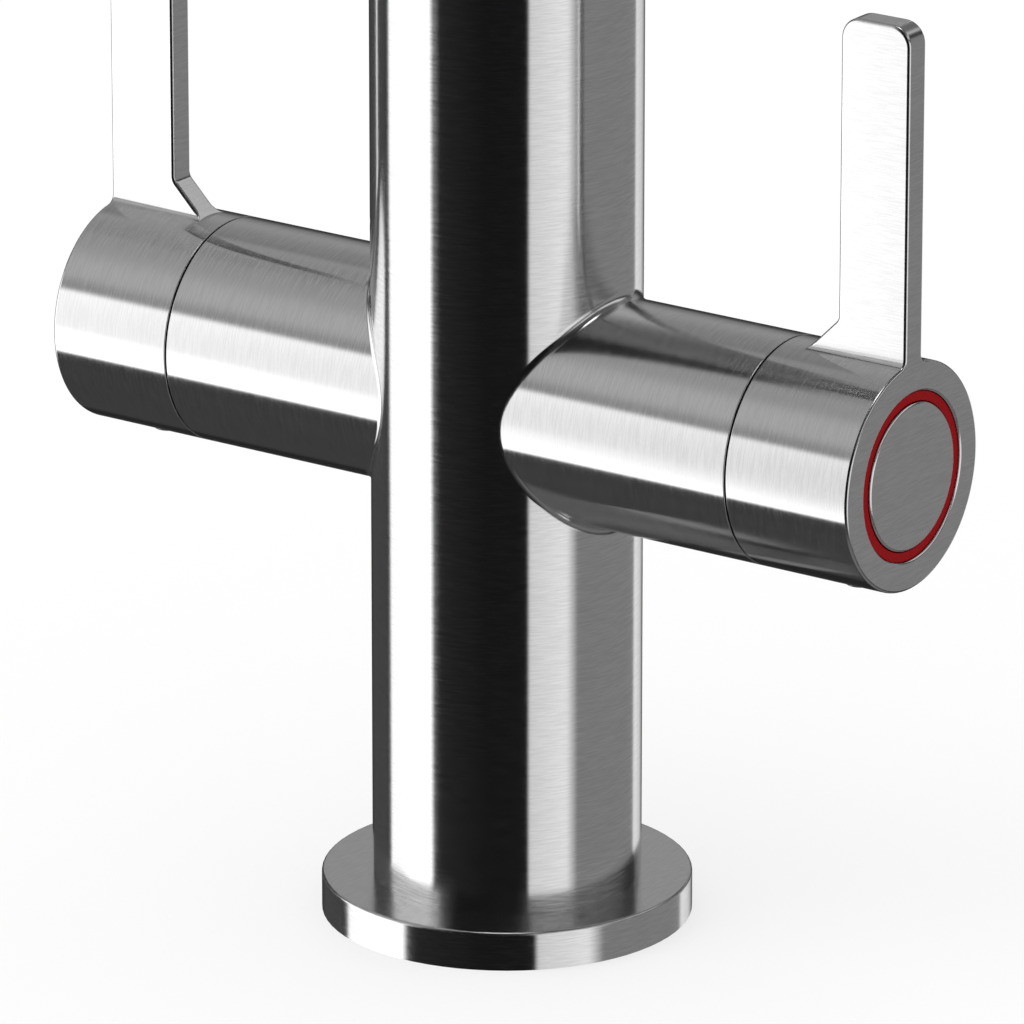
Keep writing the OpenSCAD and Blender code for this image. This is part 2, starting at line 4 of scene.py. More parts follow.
import bpy
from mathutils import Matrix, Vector


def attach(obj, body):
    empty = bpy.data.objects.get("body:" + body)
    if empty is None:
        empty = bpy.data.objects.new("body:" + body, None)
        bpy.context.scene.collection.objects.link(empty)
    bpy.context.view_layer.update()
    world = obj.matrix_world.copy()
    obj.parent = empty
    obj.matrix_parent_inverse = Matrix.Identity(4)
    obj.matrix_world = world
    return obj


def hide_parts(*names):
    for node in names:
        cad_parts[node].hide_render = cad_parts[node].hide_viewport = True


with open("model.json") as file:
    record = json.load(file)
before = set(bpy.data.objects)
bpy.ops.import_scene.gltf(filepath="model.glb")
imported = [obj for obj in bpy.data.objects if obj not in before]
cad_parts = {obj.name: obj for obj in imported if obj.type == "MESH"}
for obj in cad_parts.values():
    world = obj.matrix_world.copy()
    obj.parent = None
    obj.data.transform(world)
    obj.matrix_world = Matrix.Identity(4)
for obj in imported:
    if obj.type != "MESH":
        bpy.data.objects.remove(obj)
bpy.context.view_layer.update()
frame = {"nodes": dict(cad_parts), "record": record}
nodes = frame["nodes"]

# Main sizes in millimetres, as in the part's source
MM = .001
COLUMN_R, COLUMN_H, COLUMN_EDGE = 19, 150, .3
FLANGE_R, FLANGE_H = 26.2, 5.6
SEAL_OUT, SEAL_IN, SEAL_DEPTH = 24, 20.4, 2.2
BLOCK_R, BLOCK_TOP = 16.05, 20
VALVE_Z, BARREL_R, BARREL_REACH, BRANCH = 76.7, 16.15, 47.3, 1.4
POCKET_R, POCKET_X, THREAD_R, THREAD_X, CHAMBER_R, CHAMBER_X = 13.8, 44.3, 10.45, 34.5, 9.8, 21
LEVER_X0, LEVER_X1, BLADE_X, BLADE_T = 47.5, 67.3, 56.2, 4
BLADE_TOP, BLADE_CORNER, BLADE_FILLET, BLADE_SLOPE, BLADE_BEND = 63.65, 3, 1.3, 4.7, 1.4
SKIRT_R, SKIRT_X, RECESS_R, RECESS_X = 13.85, 53.5, 11.95, 64.9
RING_R, RING_X, RING_BORE, RING_BACK, GROOVE_R, GROOVE_X = 11.85, 66.95, 10.45, 65, 10.56, 66.2
CAP_R, CAP_X = 10.4, 65.7
PLUG_R, PLUG_L, PLUG_EDGE, PLUG_X, PLUG_Z = 2.2, 4.7, .3, 59.1, 59.85
LOCK_R, LOCK_Z, LOCK_FLOOR = 2.5, 140, -13
GLIDE_R, GLIDE_Z, SOCKET_R, SOCKET_Z, MIX_R, MIX_Z = 14.35, 148.5, 12.55, 118.8, 10, 88.7
SPIGOT_R, SPIGOT_BORE, SPIGOT_Z = 12.5, 9.5, 119.4
COLLAR_Z, COLLAR_TOP, COLLAR_ROUND = 150.4, 163.9, 5
TUBE_R, TUBE_BORE, TUBE_Z, ARCH_R, ARCH_Z, TUBE_END = 12.5, 11.2, 153, 100, 230, 195
OUTLET_Z, OUTLET_ROUND, OUTLET_BORE, OUTLET_LEDGE, OUTLET_SEAM = 186, .8, 7.9, 187.4, 194.8
AERATOR_R, AERATOR_BORE, AERATOR_TOP = 10, 8.9, 201.5

# Rounding of the lever's edges, of the flange's and the cap's, of the seam's and of the recess's
EDGE, FLANGE_EDGE, CAP_EDGE, SEAM, LIP = .5, .4, .31, .12, .31
# How far the seam's two walls stand back near the surface, and the radii where they step back
GAP, STEP_OUT, STEP_IN = .05, 14.5, 14.3
# The column's two patches: half the height round the barrels, and half the height and half the
# angle round the lock screw, at the bearing of its back
BRANCH_PATCH, LOCK_PATCH, LOCK_SPAN, BACK = 25, 7, 20, -90

# Brushing: streaks per millimetre across it and along it
ACROSS, ALONG = 5.6, .35


# ---- meshes ----

def unit(v):
    size = math.sqrt(sum(c * c for c in v))
    return tuple(c / size for c in v)


def dot(a, b):
    return sum(x * y for x, y in zip(a, b))


def mix(a, b, w):
    return tuple(x + (y - x) * w for x, y in zip(a, b))


def turned(a, b, w):
    """The direction that is a share w of the way round from a to b."""
    between = math.acos(dot(a, b))
    return tuple((math.sin((1 - w) * between) * p + math.sin(w * between) * q) / math.sin(between)
                 for p, q in zip(a, b))


def steps(a, b, n):
    return [a + (b - a) * i / n for i in range(n + 1)]


def circle(angle):
    return math.cos(math.radians(angle)), math.sin(math.radians(angle))


def corner(place, normal, across, grain=None):
    """A corner of a face: its place, its normal, the direction square to the brushing there and
    its place in the pattern of streaks, which by default is stretched along across."""
    if grain is None:
        grain = tuple(ALONG * p + (ACROSS - ALONG) * dot(place, across) * q for p, q in zip(place, across))
    return place, unit(normal), across, grain


def rounding(place, n1, n2, size, n=6):
    """Corners across an edge rounded to size, from the face with normal n1 to the one with n2."""
    n1, n2 = unit(n1), unit(n2)
    along = tuple(Vector(n1).cross(Vector(n2)).normalized())
    row = []
    for w in steps(0, 1, n):
        normal = turned(n1, n2, w)
        shift = [p - (a + b) / (1 + dot(n1, n2)) for p, a, b in zip(normal, n1, n2)]
        row.append(corner(tuple(p + size * q for p, q in zip(place, shift)), normal, along))
    return row


class Skin:
    """A mesh in the making, in millimetres. Corners at one place share a vertex."""

    def __init__(self):
        self.places, self.known, self.faces, self.corners = [], {}, [], []

    def vertex(self, place):
        key = tuple(round(c * 1e4) for c in place)
        if key not in self.known:
            self.known[key] = len(self.places)
            self.places.append(place)
        return self.known[key]

    def face(self, *corners):
        index = [self.vertex(c[0]) for c in corners]
        keep = [i for i, v in enumerate(index) if v != index[i - 1]]
        if len(keep) < 3:
            return
        at = [Vector(corners[i][0]) for i in keep]
        facing = sum((a.cross(b) for a, b in zip(at, at[1:] + at[:1])), Vector())
        if sum(facing.dot(corners[i][1]) for i in keep) < 0:
            keep.reverse()
        self.faces.append([index[i] for i in keep])
        self.corners += [corners[i] for i in keep]

    def grid(self, rows, closed=False, skip=None):
        """Faces between neighbouring rows. closed joins each row's end to its start."""
        for k, (a, b) in enumerate(zip(rows, rows[1:])):
            for i in range(len(a) if closed else len(a) - 1):
                if not (skip and skip(k, i)):
                    j = (i + 1) % len(a)
                    self.face(a[i], a[j], b[j], b[i])

    def piece(self, name, body, replaced, slot, material, mirrored=False):
        """Makes the object, mirrored to -X on the cold side, that rides body and replaces a solid."""
        side = -1 if mirrored else 1
        mesh = bpy.data.meshes.new(name)
        faces = [f[::side] for f in self.faces]
        corners, start = [], 0
        for f in self.faces:
            corners += self.corners[start:start + len(f)][::side]
            start += len(f)
        mesh.from_pydata([(p[0] * side * MM, p[1] * MM, p[2] * MM) for p in self.places], [], faces)
        mesh.shade_smooth()
        mesh.normals_split_custom_set([(n[0] * side, n[1], n[2]) for p, n, a, g in corners])
        for key, k in (("across", 2), ("grain", 3)):
            attribute = mesh.attributes.new(key, "FLOAT_VECTOR", "CORNER")
            attribute.data.foreach_set("vector", [x for c in corners for x in (c[k][0] * side, *c[k][1:])])
        mesh.materials.append(material)
        obj = bpy.data.objects.new(name, mesh)
        bpy.context.scene.collection.objects.link(obj)
        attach(obj, body)
        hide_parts(replaced)


def straight(*points):
    """Profile of straight edges through points (height, radius), with the metal on its left. It has a
    line of two points an edge, each with its normal and whether it is crisp."""
    return [[(h0, r0, r0 - r1, h1 - h0, False), (h1, r1, r0 - r1, h1 - h0, False)]
            for (h0, r0), (h1, r1) in zip(points, points[1:])]


def rounded(h, r, size, a0, a1, n=12, crisp=False):
    """Profile of an arc about (h, r), its angle measured from the radius towards the height. A crisp one
    isn't brushed round, as on an edge."""
    return [[(h + size * s, r + size * c, s, c, crisp) for c, s in map(circle, steps(a0, a1, n))]]


def crisp_edge(h, r, size, a0, a1):
    return rounded(h, r, size, a0, a1, 6, True)


def bevel(h, r, width, way):
    """Profile of the edge between a face at height h and a wall at radius r, nearly flat in its middle:
    strips of the given lengths, scaled to width, between the given tilts. way is 1 on a disc and -1
    round a hole. The profile starts at a disc's wall and at a hole's face."""
    tilts = steps(0, 30, 3) + steps(30, 48, 6)[1:] + steps(48, 90, 3)[1:]
    lengths = [.05] * 3 + [.09] * 6 + [.1] * 3
    places = [(0, 0)]
    for a, b, length in zip(tilts, tilts[1:], lengths):
        c, s = circle((a + b) / 2)
        places.append((places[-1][0] + length * c, places[-1][1] + length * s))
    scale = width / places[-1][0]
    line = [(h - scale * deep, r - way * (width - scale * far), circle(t)[0], way * circle(t)[1], True)
            for (far, deep), t in zip(places, tilts)]
    return [line[::-way]]


def lathe(skin, profile, angles, origin, axis, u, v, brushed=None):
    """Surface of revolution. Faces square to the axis are brushed straight where brushed gives the
    direction square to their streaks, and all others are turned."""
    travelled = 0
    for line in profile:
        rows, last = [], None
        for h, r, nh, nr, crisp in line:
            if last:
                travelled += math.dist(last, (h, r))
            last = (h, r)
            flat = brushed is not None and abs(nr) < 1e-6 and not crisp
            row = []
            for angle in angles:
                c, s = circle(angle)
                spoke = tuple(c * p + s * q for p, q in zip(u, v))
                place = tuple(o + h * a + r * d for o, a, d in zip(origin, axis, spoke))
                normal = unit(tuple(nh * a + nr * d for a, d in zip(axis, spoke)))
                along = unit(tuple(nr * a - nh * d for a, d in zip(axis, spoke)))
                if flat:
                    row.append(corner(place, normal, brushed))
                elif crisp:
                    row.append(corner(place, normal, tuple(c * q - s * p for p, q in zip(u, v))))
                else:
                    row.append(corner(place, normal, along, (ALONG * r * c, ALONG * r * s, ACROSS * travelled)))
            rows.append(row)
        skin.grid(rows)


X, Y, Z = (1, 0, 0), (0, 1, 0), (0, 0, 1)
WHOLE, FINE = steps(0, 360, 72), steps(0, 360, 144)


def upright(skin, profile, brushed=None, y=0):
    lathe(skin, profile, WHOLE, (0, y, 0), Z, X, Y, brushed)


def body_skin():
    skin = Skin()
    ball_column, ball_barrel = COLUMN_R + BRANCH, BARREL_R + BRANCH
    reach = BARREL_REACH - GAP

    def column(bearing, z):
        c, s = circle(bearing)
        return corner((COLUMN_R * c, COLUMN_R * s, z), (c, s, 0), Z)

    def patch(hole, edge, n=8):
        skin.grid([[column(*mix(h, e, w)) for h, e in zip(hole, edge)] for w in steps(0, 1, n)], closed=True)

    # Both barrels with their fillets, and the column round them
    low, high = VALVE_Z - BRANCH_PATCH, VALVE_Z + BRANCH_PATCH
    n = 36
    edge = ([(90, z) for z in steps(low, high, n)[:-1]] + [(a, high) for a in steps(90, -90, n)[:-1]]
            + [(-90, z) for z in steps(high, low, n)[:-1]] + [(a, low) for a in steps(-90, 90, n)[:-1]])
    turns = steps(-45, 315, 4 * n)
    hole, bands, rings = [], [], []
    for c, s in map(circle, turns[:-1]):
        y, z = ball_barrel * c, ball_barrel * s
        x = math.sqrt(ball_column ** 2 - y ** 2)
        to_column = (-x / ball_column, -y / ball_column, 0)
        to_barrel = (0, -c, -s)
        hole.append((math.degrees(math.asin(y / ball_column)), VALVE_Z + z))
        band = []
        for w in steps(0, 1, 8):
            ray = turned(to_column, to_barrel, w)
            place = (x + BRANCH * ray[0], y + BRANCH * ray[1], VALVE_Z + z + BRANCH * ray[2])
            across = mix(Z, X, w)
            lift = dot(across, ray)
            across = unit(tuple(a - lift * r for a, r in zip(across, ray)))
            grain = corner(place, ray, mix(Z, X, round(w)))[3]
            band.append(corner(place, tuple(-r for r in ray), across, grain))
        bands.append(band)
        rings.append([corner((px, BARREL_R * c, VALVE_Z + BARREL_R * s), (0, c, s), X)
                      for px in steps(x, reach - SEAM, 4)])
    patch(hole, edge)
    skin.grid(bands + bands[:1])
    skin.grid(rings + rings[:1])
    lathe(skin, crisp_edge(reach - SEAM, BARREL_R - SEAM, SEAM, 0, 90)
          + straight((reach, BARREL_R - SEAM), (reach, STEP_OUT), (BARREL_REACH, STEP_IN),
                     (BARREL_REACH, POCKET_R), (POCKET_X, POCKET_R), (POCKET_X, THREAD_R),
                     (THREAD_X, THREAD_R), (THREAD_X, CHAMBER_R), (CHAMBER_X, CHAMBER_R), (CHAMBER_X, 0)),
          turns, (0, 0, VALVE_Z), X, Y, Z)
    # The side on -X is its mirror image
    corners = iter(list(skin.corners))
    for count in [len(f) for f in skin.faces]:
        skin.face(*[((-p[0], p[1], p[2]), (-m[0], m[1], m[2]), (-a[0], a[1], a[2]), g)
                    for p, m, a, g in (next(corners) for _ in range(count))])

    # The rest of the column, with the hole of the lock screw at its back
    around = steps(-180, 180, 72)
    skin.grid([[column(a, z) for a in around] for z in (FLANGE_H, (FLANGE_H + low) / 2, low)])
    right, left = BACK - LOCK_SPAN, BACK + LOCK_SPAN
    beside = steps(LOCK_Z - LOCK_PATCH, LOCK_Z + LOCK_PATCH, 4)
    skin.grid([[column(a, z) for a in around] for z in (high, *beside, COLUMN_H - COLUMN_EDGE)],
              skip=lambda k, i: 1 <= k <= 4 and right <= around[i] < left)
    edge = ([(left, z) for z in beside[:-1]] + [(a, beside[-1]) for a in steps(left, right, 8)[:-1]]
            + [(right, z) for z in beside[:0:-1]] + [(a, beside[0]) for a in steps(right, left, 8)[:-1]])
    hole, wall, floor_row = [], [], []
    for a, z in edge:
        c, s = unit((math.radians(a - BACK) * COLUMN_R, z - LOCK_Z))
        x = LOCK_R * c
        hole.append((BACK + math.degrees(math.asin(x / COLUMN_R)), LOCK_Z + LOCK_R * s))
        wall.append([corner((x, y, LOCK_Z + LOCK_R * s), (-c, 0, -s), Y)
                     for y in (-math.sqrt(COLUMN_R ** 2 - x ** 2), LOCK_FLOOR)])
        floor_row.append([corner((k * x, LOCK_FLOOR, LOCK_Z + k * LOCK_R * s), (0, -1, 0), X) for k in (1, 0)])
    patch(hole, edge, 3)
    skin.grid(wall + wall[:1])
    skin.grid(floor_row + floor_row[:1])
    e = COLUMN_EDGE
    upright(skin, crisp_edge(COLUMN_H - e, COLUMN_R - e, e, 0, 90)
            + straight((COLUMN_H, COLUMN_R - e), (COLUMN_H, GLIDE_R), (GLIDE_Z, GLIDE_R), (GLIDE_Z, SOCKET_R),
                       (SOCKET_Z, SOCKET_R), (SOCKET_Z, MIX_R), (MIX_Z, MIX_R), (MIX_Z, 0)))
    upright(skin, straight((BLOCK_TOP, 0), (BLOCK_TOP, BLOCK_R), (FLANGE_H, BLOCK_R), (FLANGE_H, COLUMN_R)))
    return skin


def lever_skin():
    """The lever on +X: heights w are above the valve's axis, and n counts the steps across the blade's
    foot and across each of its fillets."""
    skin = Skin()
    half, e, n = BLADE_T / 2, EDGE, 8
    fy, reach = half + BLADE_FILLET, BARREL_R + BLADE_FILLET
    fw = math.sqrt(reach ** 2 - fy ** 2)
    contact = math.degrees(math.asin(fy / reach))
    slope_x, slope_w = BLADE_X - BARREL_R - BLADE_SLOPE, BARREL_R + BLADE_SLOPE
    slope_n = (-1, 0, 1)

    # Hub: under the blade's foot it ends at the slope, elsewhere at the rim
    inside = steps(-contact, contact, n)
    outside = steps(contact, 360 - contact, 132)
    spread = [math.sin(math.radians(p)) / math.sin(math.radians(contact)) for p in inside]
    foot = [slope_x + BARREL_R * math.cos(math.radians(p)) for p in inside]
    x0 = LEVER_X0 + GAP
    start = x0 + SEAM

    def hub(x, p):
        c, s = circle(p)
        return corner((x, BARREL_R * s, VALVE_Z + BARREL_R * c), (0, s, c), X)

    skin.grid([[hub(x, p) for x in steps(start, f, 3)] for p, f in zip(inside, foot)])
    skin.grid([[hub(x, p) for x in steps(start, foot[0], 3) + steps(foot[0], LEVER_X1 - e, 3)[1:]]
               for p in outside])
    lathe(skin, straight((SKIRT_X, 0), (SKIRT_X, SKIRT_R), (LEVER_X0, SKIRT_R), (LEVER_X0, STEP_IN),
                         (x0, STEP_OUT), (x0, BARREL_R - SEAM))
          + crisp_edge(start, BARREL_R - SEAM, SEAM, -90, 0), inside[:-1] + outside, (0, 0, VALVE_Z), X, Z, Y)

    # Fillets along both sides of the foot, as (y, w) and the normal there
    fillet = [(fy + BLADE_FILLET * c, fw + BLADE_FILLET * s, -c, -s)
              for c, s in map(circle, steps(180, 180 + math.degrees(math.atan2(fw, fy)), n))]

    def slope_edge(side, k):
        y, w, ny, nw = fillet[k]
        return rounding((slope_x + w, side * y, VALVE_Z + w), slope_n, (0, side * ny, nw), e * (1 - k / n))

    for side in (-1, 1):
        rows = []
        for k, (y, w, ny, nw) in enumerate(fillet):
            normal = (0, side * ny, nw)
            blend = mix(Z, X, k / n)
            lift = dot(blend, normal)
            across = unit(tuple(p - lift * q for p, q in zip(blend, normal)))
            grain = corner((0, side * y, w), normal, mix(Z, X, round(k / n)))[3]
            rows.append([corner(place, normal, across, (grain[0] + ALONG * place[0], *grain[1:]))
                         for place in (slope_edge(side, k)[-1][0], (LEVER_X1 - e, side * y, VALVE_Z + w))])
        skin.grid(rows)

    # Rim, end face and recess
    def rim(y, w, ny, nw):
        return rounding((LEVER_X1, y, VALVE_Z + w), X, (0, ny, nw), e)

    round_hub = [rim(BARREL_R * s, BARREL_R * c, s, c) for c, s in map(circle, outside)]
    left, right = [[rim(side * y, w, side * ny, nw) for y, w, ny, nw in fillet] for side in (-1, 1)]
    for rows in (round_hub, left, right):
        skin.grid(rows)
    outline = [row[0][0] for row in round_hub + left[-2::-1]]
    outline += [(LEVER_X1, (half - e) * k, VALVE_Z + fw) for k in spread[1:]]
    outline += [row[0][0] for row in right[1:]]
    ring_angles = outside + steps(360 - contact, 360 + contact, 3 * n)[1:]
    lip = RECESS_R + LIP
    skin.grid([[corner(o, X, Z), corner((LEVER_X1, lip * s, VALVE_Z + lip * c), X, Z)]
               for o, (c, s) in zip(outline, map(circle, ring_angles))])
    edge = bevel(LEVER_X1, RECESS_R, LIP, -1)
    lathe(skin, edge + straight((edge[0][-1][0], RECESS_R), (RECESS_X, RECESS_R), (RECESS_X, 0)), ring_angles,
          (0, 0, VALVE_Z), X, Z, Y)

    # Blade: one band over its front, top and back to the slope at its foot, as (x, w) and the normal
    top = BLADE_TOP - BLADE_CORNER
    front, back = LEVER_X1 - BLADE_CORNER, BLADE_X + BLADE_CORNER
    bend_w = slope_w + BLADE_BEND * math.tan(math.pi / 8)
    band = [(LEVER_X1, w, 1, 0) for w in steps(fw, top, 7)]
    for centre, a0 in ((front, 0), (back, 90)):
        band += [(centre + BLADE_CORNER * c, top + BLADE_CORNER * s, c, s)
                 for c, s in map(circle, steps(a0, a0 + 90, 10))]
    band += [(BLADE_X, w, -1, 0) for w in steps(top, bend_w, 3)[1:]]
    band += [(BLADE_X - BLADE_BEND + BLADE_BEND * c, bend_w + BLADE_BEND * s, -c, -s)
             for c, s in map(circle, steps(0, -45, 4)[1:])]
    band += [(slope_x + fw, fw, -math.sqrt(.5), math.sqrt(.5))]
    skin.grid([[corner((x, (half - e) * k, VALVE_Z + w), (nx, 0, nw), (-nw, 0, nx)) for k in spread]
               for x, w, nx, nw in band])
    rows = []
    for k, (y, w, ny, nw) in enumerate(fillet):
        place = slope_edge(1, k)[0][0]
        q = (fillet[0][1] - w) / (fillet[0][1] - fillet[-1][1])
        levels = [place[2] + q * BARREL_R * (math.cos(math.radians(p)) - math.cos(math.radians(contact)))
                  for p in inside]
        rows.append([corner((slope_x + z - VALVE_Z, place[1] * s, z), slope_n, unit((-1, 0, -1)))
                     for z, s in zip(levels, spread)])
    skin.grid(rows)
    for side in (-1, 1):
        rows = [rounding((x, side * half, VALVE_Z + w), (nx, 0, nw), (0, side, 0), e) for x, w, nx, nw in band]
        skin.grid(rows + [slope_edge(side, k) for k in range(1, n + 1)])
        outline = [corner(row[-1][0], (0, side, 0), Z) for row in rows]
        middle = len(outline) // 2
        skin.grid(list(zip(outline[:middle], outline[:middle - 1:-1])))
    return skin


def tube_skin():
    """The spout's tube, swept along its path, with its joint line on the inner side of the arch."""
    skin = Skin()
    path = [((0, 0, z), (0, -1, 0), z - TUBE_Z) for z in steps(TUBE_Z, ARCH_Z, 6)[:-1]]
    run = ARCH_Z - TUBE_Z
    for t in steps(0, 180, 72):
        c, s = circle(t)
        path.append(((0, ARCH_R - ARCH_R * c, ARCH_Z + ARCH_R * s), (0, -c, s),
                     run + ARCH_R * math.radians(t)))
    run += math.pi * ARCH_R
    path += [((0, 2 * ARCH_R, z), (0, 1, 0), run + ARCH_Z - z) for z in steps(ARCH_Z, TUBE_END, 4)[1:]]
    angles = steps(-180, 180, 64)
    for radius, sign in ((TUBE_R, 1), (TUBE_BORE, -1)):
        rows = []
        for centre, out, travelled in path:
            row = []
            for c, s in map(circle, angles):
                spoke = (s, c * out[1], c * out[2])
                place = tuple(p + radius * q for p, q in zip(centre, spoke))
                along = (0, out[2], -out[1])
                row.append(corner(place, tuple(sign * q for q in spoke), along,
                                  (ALONG * radius * c, ALONG * radius * s, ACROSS * travelled)))
            rows.append(row)
        skin.grid(rows)
    for centre, out, travelled in (path[0], path[-1]):
        skin.grid([[corner(tuple(p + r * q for p, q in zip(centre, (s, c * out[1], c * out[2]))), (0, 0, -1), X)
                    for c, s in map(circle, angles)] for r in (TUBE_R, TUBE_BORE)])
    return skin


def collar_skin():
    skin = Skin()
    e, shoulder = COLUMN_EDGE, COLLAR_TOP - COLLAR_ROUND
    upright(skin, straight((SPIGOT_Z, SPIGOT_BORE), (SPIGOT_Z, SPIGOT_R), (COLLAR_Z, SPIGOT_R),
                           (COLLAR_Z, COLUMN_R - e))
            + crisp_edge(COLLAR_Z + e, COLUMN_R - e, e, -90, 0)
            + straight((COLLAR_Z + e, COLUMN_R), (shoulder, COLUMN_R))
            + rounded(shoulder, COLUMN_R - COLLAR_ROUND, COLLAR_ROUND, 0, 90)
            + straight((COLLAR_TOP, COLUMN_R - COLLAR_ROUND), (COLLAR_TOP, SOCKET_R), (TUBE_Z, SOCKET_R),
                       (TUBE_Z, SPIGOT_BORE), (SPIGOT_Z, SPIGOT_BORE)))
    return skin


def outlet_skin():
    skin = Skin()
    round_z = OUTLET_Z + OUTLET_ROUND
    upright(skin, straight((OUTLET_Z, OUTLET_BORE), (OUTLET_Z, TUBE_R - OUTLET_ROUND))
            + rounded(round_z, TUBE_R - OUTLET_ROUND, OUTLET_ROUND, -90, 0, 8)
            + straight((round_z, TUBE_R), (OUTLET_SEAM, TUBE_R), (OUTLET_SEAM, AERATOR_R),
                       (AERATOR_TOP, AERATOR_R), (AERATOR_TOP, AERATOR_BORE), (OUTLET_LEDGE, AERATOR_BORE),
                       (OUTLET_LEDGE, OUTLET_BORE), (OUTLET_Z, OUTLET_BORE)), y=2 * ARCH_R)
    return skin


def flange_skin():
    skin = Skin()
    e = FLANGE_EDGE
    upright(skin, straight((0, SEAL_OUT), (0, FLANGE_R), (FLANGE_H - e, FLANGE_R))
            + crisp_edge(FLANGE_H - e, FLANGE_R - e, e, 0, 90)
            + straight((FLANGE_H, FLANGE_R - e), (FLANGE_H, BLOCK_R), (0, BLOCK_R), (0, SEAL_IN),
                       (SEAL_DEPTH, SEAL_IN), (SEAL_DEPTH, SEAL_OUT), (0, SEAL_OUT)), brushed=X)
    return skin


def cap_skin():
    skin = Skin()
    edge = bevel(LEVER_X1, CAP_R, CAP_EDGE, 1)
    lathe(skin, straight((CAP_X, 0), (CAP_X, CAP_R), (edge[0][0][0], CAP_R)) + edge
          + straight((LEVER_X1, CAP_R - CAP_EDGE), (LEVER_X1, 0)), FINE, (0, 0, VALVE_Z), X, Y, Z, brushed=Z)
    return skin


def ring_skin():
    """The coloured ring, with the groove that shows round the cap."""
    skin = Skin()
    lathe(skin, straight((RING_BACK, RING_R), (RING_X, RING_R), (RING_X, GROOVE_R), (GROOVE_X, GROOVE_R),
                         (GROOVE_X, RING_BORE), (RING_BACK, RING_BORE), (RING_BACK, RING_R)),
          FINE, (0, 0, VALVE_Z), X, Y, Z)
    return skin


def plug_skin():
    """The plug under a lever's hub, drawn downwards from its inner end."""
    skin = Skin()
    e = PLUG_EDGE
    lathe(skin, straight((0, 0), (0, PLUG_R), (PLUG_L - e, PLUG_R))
          + crisp_edge(PLUG_L - e, PLUG_R - e, e, 0, 90) + straight((PLUG_L, PLUG_R - e), (PLUG_L, 0)),
          steps(0, 360, 36), (PLUG_X, 0, PLUG_Z + PLUG_L), (0, 0, -1), X, Y)
    return skin


# ---- node helpers ----

def socket(tree, value, target):
    """Sets a socket to a number, a colour or another node's output."""
    if isinstance(value, bpy.types.NodeSocket):
        tree.links.new(value, target)
    else:
        target.default_value = value


def calc(tree, operation, *values):
    node = tree.nodes.new("ShaderNodeMath")
    node.operation = operation
    for i, v in enumerate(values):
        socket(tree, v, node.inputs[i])
    return node.outputs[0]


def ramped(tree, value, a, b, lo=0.0, hi=1.0, smooth=True):
    node = tree.nodes.new("ShaderNodeMapRange")
    node.interpolation_type = "SMOOTHSTEP" if smooth else "LINEAR"
    for i, v in enumerate((value, a, b, lo, hi)):
        socket(tree, v, node.inputs[i])
    return node.outputs[0]


def blended(tree, factor, a, b):
    """a where factor is 0 and b where it is 1."""
    node = tree.nodes.new("ShaderNodeMix")
    node.data_type = "FLOAT"
    socket(tree, factor, node.inputs[0])
    socket(tree, a, node.inputs[2])
    socket(tree, b, node.inputs[3])
    return node.outputs[0]


# ---- studio ----

# The studio that the metal mirrors, in degrees of bearing and height. Its panels are given as (where
# each starts, its brightness, width of its soft start): by bearing for the upright walls and for the
# slanted ones above them, and by height for the wall behind the tap
WALLS = ((-180, .04, 0), (-172.5, 1.42, 1.5), (-152, 1.95, 10), (-131, 1.85, 6), (-121.8, .022, 4.5),
         (-96, .008, 46), (-36.7, .84, 2), (-20, .99, 26), (2.5, .25, 10), (82.5, .92, 2), (92, .77, 8),
         (103, .46, 8), (108, .15, 6), (119, .045, 10), (145, .068, 8))
UPPER = ((-180, .38, 0), (-165, .44, 12), (-147, .5, 12), (-120, .4, 8), (-106, .03, 10), (-30, .14, 12),
         (81, .16, 6), (104, .2, 6), (145, .38, 12))
BEHIND = ((-90, .04, 0), (-24, .045, 4), (-12, .035, 3), (4, .2, 6), (9, .26, 6), (14, .34, 6),
          (30, .27, 12), (44, .24, 8))

# Where its other parts fade in or out, and their brightness
KEY_LEFT, KEY_RIGHT, KEY_FOOT = (-172, -162), (-117, -112), (-15, -9)
KEY_TURN, KEY_GLOW = (-127, -121), (1.5, .87)
UPPER_FOOT, UPPER_DROP = (17.5, 22), 4
UPPER_LEFT, UPPER_RIGHT = (-176, -166), (-120, -110)
UPPER_TURN, UPPER_TURNED = (44, 56), 25
SHADE_MIDDLE, SHADE_TOP = (22, 34), (46, 54)
SHADE_OVER_KEY, SHADE_BESIDE, SHADE_HIGH = .6, .15, .75
SIDE_LEFT, SIDE_RIGHT, SIDE_FOOT, SIDE_TOP, SIDE_GLOW = (-50, -20), (66, 80), (25, 30), (40, 45), .7
FAR_LEFT, FAR_RIGHT, FAR_FOOT = (80, 86), (138, 146), (-14, -11)
FAR_NARROWS, FAR_NARROWED = (18, 24), 24
NEAR_LEFT, NEAR_RIGHT, NEAR_TOP = (-128, -118), (100, 112), (-50, -44)
GROUND_TOP, GROUND, GROUND_FAR, GROUND_NEAR = (-33, -31), .055, .02, .17
ZENITH, ZENITH_GLOW = (79, 83), 3.0


def ramp(tree, value, lo, hi, panels):
    """The brightness at value, from lo to hi degrees, along a row of panels."""
    node = tree.nodes.new("ShaderNodeValToRGB")
    socket(tree, ramped(tree, value, lo, hi, smooth=False), node.inputs[0])
    stops = node.color_ramp.elements
    level = panels[0][1]
    stops[0].position, stops[0].color = 0, (level, level, level, 1)
    stops[1].position, stops[1].color = 1, (level, level, level, 1)
    for start, after, blur in panels[1:]:
        for side, shade in ((-1, level), (1, after)):
            stop = stops.new((start + side * blur / 2 - lo) / (hi - lo))
            stop.color = (shade, shade, shade, 1)
        level = after
    stops[len(stops) - 1].color = (level, level, level, 1)
    return node.outputs[0]


